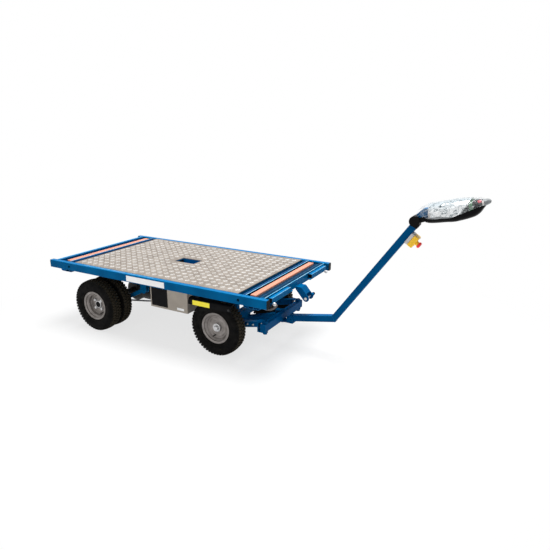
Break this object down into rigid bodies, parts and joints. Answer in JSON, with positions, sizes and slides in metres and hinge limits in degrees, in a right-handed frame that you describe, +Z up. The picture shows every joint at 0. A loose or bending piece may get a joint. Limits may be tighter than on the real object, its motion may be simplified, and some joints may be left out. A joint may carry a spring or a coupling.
{
  "type": "electric platform cart",
  "caption": "Low flat-bed electric cart with a tread-plate deck, steered front wheels, twin driven rear wheels and a bent tiller with control head.",
  "frame": {"origin": "on the floor below the middle of the whole cart's box", "axes": "+X forward to the tiller, +Y to the left, +Z up"},
  "size_m": [3.1726, 1.04, 1.1976],
  "materials": {
    "blue_paint": "blue enamel on steel",
    "tread_aluminium": "rolled tread plate",
    "timber": "planed softwood",
    "box_paint": "beige grey enamel",
    "battery_case": "moulded case",
    "black_plastic": "moulded, fine grain",
    "grey_plastic": "moulded",
    "clear_film": "clear crumpled film",
    "yellow_plastic": "moulded",
    "red_plastic": "moulded",
    "bright_steel": "zinc plated",
    "axle_iron": "dark painted casting",
    "tyre_rubber": "black rubber",
    "rim_paint": "silver enamel"
  },
  "bodies": {
    "chassis": {"side_beams": "blue_paint", "tube_plugs": "black_plastic", "end_cross_tubes": "blue_paint", "deck_plate": "tread_aluminium", "deck_pocket": "blue_paint", "end_troughs": "blue_paint", "timber_strips": "timber", "deck_cross_members": "blue_paint", "chassis_rails": "blue_paint", "bumper_tubes": "blue_paint", "bumper_plates": "blue_paint", "drawbar_latch": "blue_paint", "latch_pin": "bright_steel", "battery_boxes": "box_paint", "batteries": "battery_case", "front_wheel_guards": "black_plastic", "front_axle_beam": "blue_paint", "front_axle_legs": "blue_paint", "rear_axle": "axle_iron", "drive_motor": "axle_iron", "trailing_arms": "blue_paint", "arm_hangers": "blue_paint", "brake_rods": "bright_steel"},
    "knuckle_right": {"knuckle_right": "blue_paint", "steering_lever_right": "blue_paint"},
    "knuckle_left": {"knuckle_left": "blue_paint", "steering_lever_left": "blue_paint"},
    "drawbar_head": {"drawbar_head": "blue_paint"},
    "tie_bar": {"tie_bar": "blue_paint"},
    "drawbar": {"drawbar_lower_tube": "blue_paint", "drawbar_upper_tube": "blue_paint", "tiller_collar": "black_plastic", "tiller_lower_shell": "black_plastic", "tiller_upper_cover": "grey_plastic", "tiller_film": "clear_film", "tiller_neck_block": "blue_paint", "tiller_tip": "grey_plastic", "tiller_red_key": "red_plastic", "stop_base": "grey_plastic", "stop_cover": "yellow_plastic", "stop_button": "red_plastic"},
    "front_wheel_right": {"front_tyre_right": "tyre_rubber", "front_rim_right": "rim_paint", "front_hub_right": "bright_steel"},
    "rear_wheels_right": {"rear_tyres_right": "tyre_rubber", "rear_rims_right": "rim_paint", "rear_hub_right": "bright_steel"},
    "front_wheel_left": {"front_tyre_left": "tyre_rubber", "front_rim_left": "rim_paint", "front_hub_left": "bright_steel"},
    "rear_wheels_left": {"rear_tyres_left": "tyre_rubber", "rear_rims_left": "rim_paint", "rear_hub_left": "bright_steel"}
  },
  "joints": [
    {"name": "steer", "type": "hinge", "parent": "chassis", "child": "drawbar_head", "pos_m": [-0.06632, 0, 0.14], "axis": [0, 0, 1], "range_deg": [-35, 35]},
    {"name": "tie_bar_swing", "type": "hinge", "parent": "drawbar_head", "child": "tie_bar", "pos_m": [0.25368, 0, 0.23], "axis": [0, 0, 1], "range_deg": [-35, 35]},
    {"name": "drawbar_tilt", "type": "hinge", "parent": "drawbar_head", "child": "drawbar", "pos_m": [0.32868, 0, 0.226], "axis": [0, -1, 0], "range_deg": [0, 35]},
    {"name": "knuckle_right_turn", "type": "hinge", "parent": "chassis", "child": "knuckle_right", "pos_m": [-0.06632, -0.262, 0.207], "axis": [0, 0, 1], "range_deg": [-35, 35]},
    {"name": "knuckle_left_turn", "type": "hinge", "parent": "chassis", "child": "knuckle_left", "pos_m": [-0.06632, 0.262, 0.207], "axis": [0, 0, 1], "range_deg": [-35, 35]},
    {"name": "front_wheel_right_spin", "type": "hinge", "parent": "knuckle_right", "child": "front_wheel_right", "pos_m": [-0.06632, -0.37, 0.207], "axis": [0, 1, 0], "continuous": true},
    {"name": "rear_wheels_right_spin", "type": "hinge", "parent": "chassis", "child": "rear_wheels_right", "pos_m": [-1.15332, -0.46, 0.207], "axis": [0, 1, 0], "continuous": true},
    {"name": "front_wheel_left_spin", "type": "hinge", "parent": "knuckle_left", "child": "front_wheel_left", "pos_m": [-0.06632, 0.37, 0.207], "axis": [0, 1, 0], "continuous": true},
    {"name": "rear_wheels_left_spin", "type": "hinge", "parent": "chassis", "child": "rear_wheels_left", "pos_m": [-1.15332, 0.46, 0.207], "axis": [0, 1, 0], "continuous": true}
  ],
  "couplings": [
    {"joint": "tie_bar_swing", "follows": "steer", "ratio": -1},
    {"joint": "knuckle_right_turn", "follows": "steer", "ratio": 1},
    {"joint": "knuckle_left_turn", "follows": "steer", "ratio": 1}
  ]
}
